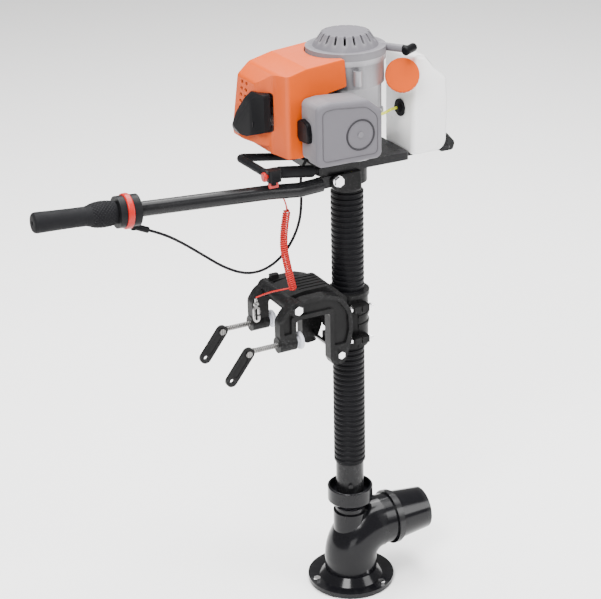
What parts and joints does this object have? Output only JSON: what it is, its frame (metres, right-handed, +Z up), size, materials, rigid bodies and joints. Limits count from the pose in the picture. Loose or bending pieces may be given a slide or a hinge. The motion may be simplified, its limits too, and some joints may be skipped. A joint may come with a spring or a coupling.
{
  "type": "outboard motor",
  "caption": "Small petrol outboard with a jet pump: air-cooled engine on a long ribbed shaft, screw clamp for a transom, folding tiller with twist grip, fuel tank.",
  "frame": {"origin": "middle of the clamp's seat, on the face that rests on the transom's top edge", "axes": "+Z up along the shaft, +X aft the way the jet points, -X towards the boat and along the tiller, -Y port, +Y starboard"},
  "size_m": [0.703, 0.2124, 0.936],
  "materials": {
    "orange_plastic": "gloss moulded, fine grain",
    "grey_plastic": "satin moulded",
    "cast_aluminium": "sand-cast satin",
    "tank_plastic": "translucent blow-moulded",
    "black_paint": "gloss powder coat",
    "black_casting": "satin paint on cast metal",
    "black_plastic": "satin moulded",
    "pump_black": "gloss",
    "black_rubber": "matte",
    "bright_steel": "polished",
    "plain_steel": "turned",
    "steel_heavy": "machined",
    "pad_white": "moulded nylon",
    "red_plastic": "moulded",
    "red_cord": "coiled cord",
    "fuel_hose": "clear yellow"
  },
  "bodies": {
    "transom_bracket": {"clamp_plate_port": "black_casting", "clamp_plate_starboard": "black_casting", "seat_web": "black_casting", "tilt_bolt": "bright_steel", "thrust_rod": "bright_steel"},
    "foot_port": {"pad_port": "pad_white"},
    "foot_starboard": {"pad_starboard": "pad_white"},
    "clamp_screw_port": {"screw_port": "plain_steel"},
    "clamp_screw_starboard": {"screw_starboard": "plain_steel"},
    "handle_port": {"screw_handle_port": "black_casting"},
    "handle_starboard": {"screw_handle_starboard": "black_casting"},
    "swivel": {"swivel_bracket": "black_casting", "sleeve_cap": "black_casting", "sleeve_bolts": "bright_steel", "snap_hook": "plain_steel"},
    "motor": {"shaft_tube": "black_paint", "ribbed_sleeve": "black_plastic", "engine_plate": "black_paint", "top_clamp": "black_casting", "crankcase": "cast_aluminium", "cylinder": "cast_aluminium", "cylinder_cover": "orange_plastic", "spark_plug": "plain_steel", "plug_cover": "black_plastic", "muffler": "black_casting", "carburettor": "cast_aluminium", "air_filter_base": "grey_plastic", "air_filter_cover": "grey_plastic", "fan_housing": "cast_aluminium", "starter_housing": "grey_plastic", "fuel_tank": "tank_plastic", "tank_grommet": "black_rubber", "fuel_line": "fuel_hose", "tank_stand": "black_paint", "carry_handle": "black_rubber", "stop_switch": "black_plastic", "lanyard_cord": "red_cord", "lanyard_coil": "red_cord", "tiller_bolt": "bright_steel", "pump_collar": "pump_black", "pump_elbow": "pump_black", "nozzle": "pump_black", "flange_bolts": "bright_steel", "throttle_cable": "black_rubber"},
    "clip": {"stop_clip": "red_plastic"},
    "choke": {"choke_lever": "black_plastic"},
    "filler_cap": {"fuel_cap": "orange_plastic"},
    "button": {"stop_button": "red_plastic"},
    "tiller": {"tiller_tube": "black_paint", "throttle_housing": "black_plastic", "throttle_ring": "red_plastic"},
    "grip": {"twist_grip": "black_rubber"},
    "pull_handle": {"starter_handle": "black_plastic"},
    "pulley": {"starter_pulley": "black_plastic"},
    "drive_train": {"crankshaft": "steel_heavy", "flywheel_fan": "cast_aluminium", "drive_shaft": "steel_heavy", "impeller": "cast_aluminium"},
    "piston_rod": {"piston": "cast_aluminium", "conrod": "steel_heavy"}
  },
  "joints": [
    {"name": "foot_port_slide", "type": "slide", "parent": "transom_bracket", "child": "foot_port", "axis": [1, 0, 0], "range_m": [0, 0.033]},
    {"name": "screw_port_turn", "type": "hinge", "parent": "foot_port", "child": "clamp_screw_port", "pos_m": [-0.06, -0.047, -0.037], "axis": [1, 0, 0], "range_deg": [0, 5940]},
    {"name": "handle_port_swing", "type": "hinge", "parent": "clamp_screw_port", "child": "handle_port", "pos_m": [-0.116, -0.0518, -0.037], "axis": [0, 1, 0], "range_deg": [-35, 140]},
    {"name": "foot_starboard_slide", "type": "slide", "parent": "transom_bracket", "child": "foot_starboard", "axis": [1, 0, 0], "range_m": [0, 0.033]},
    {"name": "screw_starboard_turn", "type": "hinge", "parent": "foot_starboard", "child": "clamp_screw_starboard", "pos_m": [-0.06, 0.047, -0.037], "axis": [1, 0, 0], "range_deg": [0, 5940]},
    {"name": "handle_starboard_swing", "type": "hinge", "parent": "clamp_screw_starboard", "child": "handle_starboard", "pos_m": [-0.116, 0.0422, -0.037], "axis": [0, 1, 0], "range_deg": [-35, 140]},
    {"name": "tilt", "type": "hinge", "parent": "transom_bracket", "child": "swivel", "pos_m": [-0.034, 0, 0.018], "axis": [0, -1, 0], "range_deg": [0, 70]},
    {"name": "steer", "type": "hinge", "parent": "swivel", "child": "motor", "pos_m": [0.084, 0, -0.04], "axis": [0, 0, 1], "range_deg": [-60, 60], "deforming": ["lanyard_cord", "lanyard_coil"]},
    {"name": "tiller_fold", "type": "hinge", "parent": "motor", "child": "tiller", "pos_m": [0.04, -0.045, 0.2088], "axis": [0, -1, 0], "range_deg": [0, 45], "deforming": ["throttle_cable"]},
    {"name": "throttle_twist", "type": "hinge", "parent": "tiller", "child": "grip", "pos_m": [-0.424, -0.045, 0.2305], "axis": [-0.9981, 0, 0.0609], "range_deg": [0, 75], "stiffness_Nm_per_rad": 0.12},
    {"name": "clip_pull", "type": "slide", "parent": "motor", "child": "clip", "axis": [0, -1, 0], "range_m": [0, 0.012], "deforming": ["lanyard_cord"]},
    {"name": "button_press", "type": "slide", "parent": "motor", "child": "button", "axis": [1, 0, 0], "range_m": [0, 0.0025], "stiffness_N_per_m": 900},
    {"name": "choke_swing", "type": "hinge", "parent": "motor", "child": "choke", "pos_m": [-0.0234, -0.0702, 0.294], "axis": [1, 0, 0], "range_deg": [0, 45]},
    {"name": "cap_turn", "type": "hinge", "parent": "motor", "child": "filler_cap", "pos_m": [0.1495, -0.0535, 0.3545], "axis": [-0.48, -0.8, 0.36], "range_deg": [0, 270]},
    {"name": "pulley_turn", "type": "hinge", "parent": "motor", "child": "pulley", "pos_m": [0.084, 0, 0.393], "axis": [0, 0, -1], "range_deg": [0, 1145], "stiffness_Nm_per_rad": 0.004},
    {"name": "handle_pull", "type": "slide", "parent": "motor", "child": "pull_handle", "axis": [0.5501, -0.8351, 0], "range_m": [0, 0.6]},
    {"name": "crank_turn", "type": "hinge", "parent": "motor", "child": "drive_train", "pos_m": [0.084, 0, 0.302], "axis": [0, 0, 1], "continuous": true},
    {"name": "piston_stroke", "type": "slide", "parent": "motor", "child": "piston_rod", "axis": [1, 0, 0], "range_m": [0, 0.034]}
  ],
  "couplings": [
    {"joint": "foot_port_slide", "follows": "screw_port_turn", "m_per_rad": 0.0003183},
    {"joint": "foot_starboard_slide", "follows": "screw_starboard_turn", "m_per_rad": 0.0003183},
    {"joint": "handle_pull", "follows": "pulley_turn", "m_per_rad": 0.03}
  ]
}
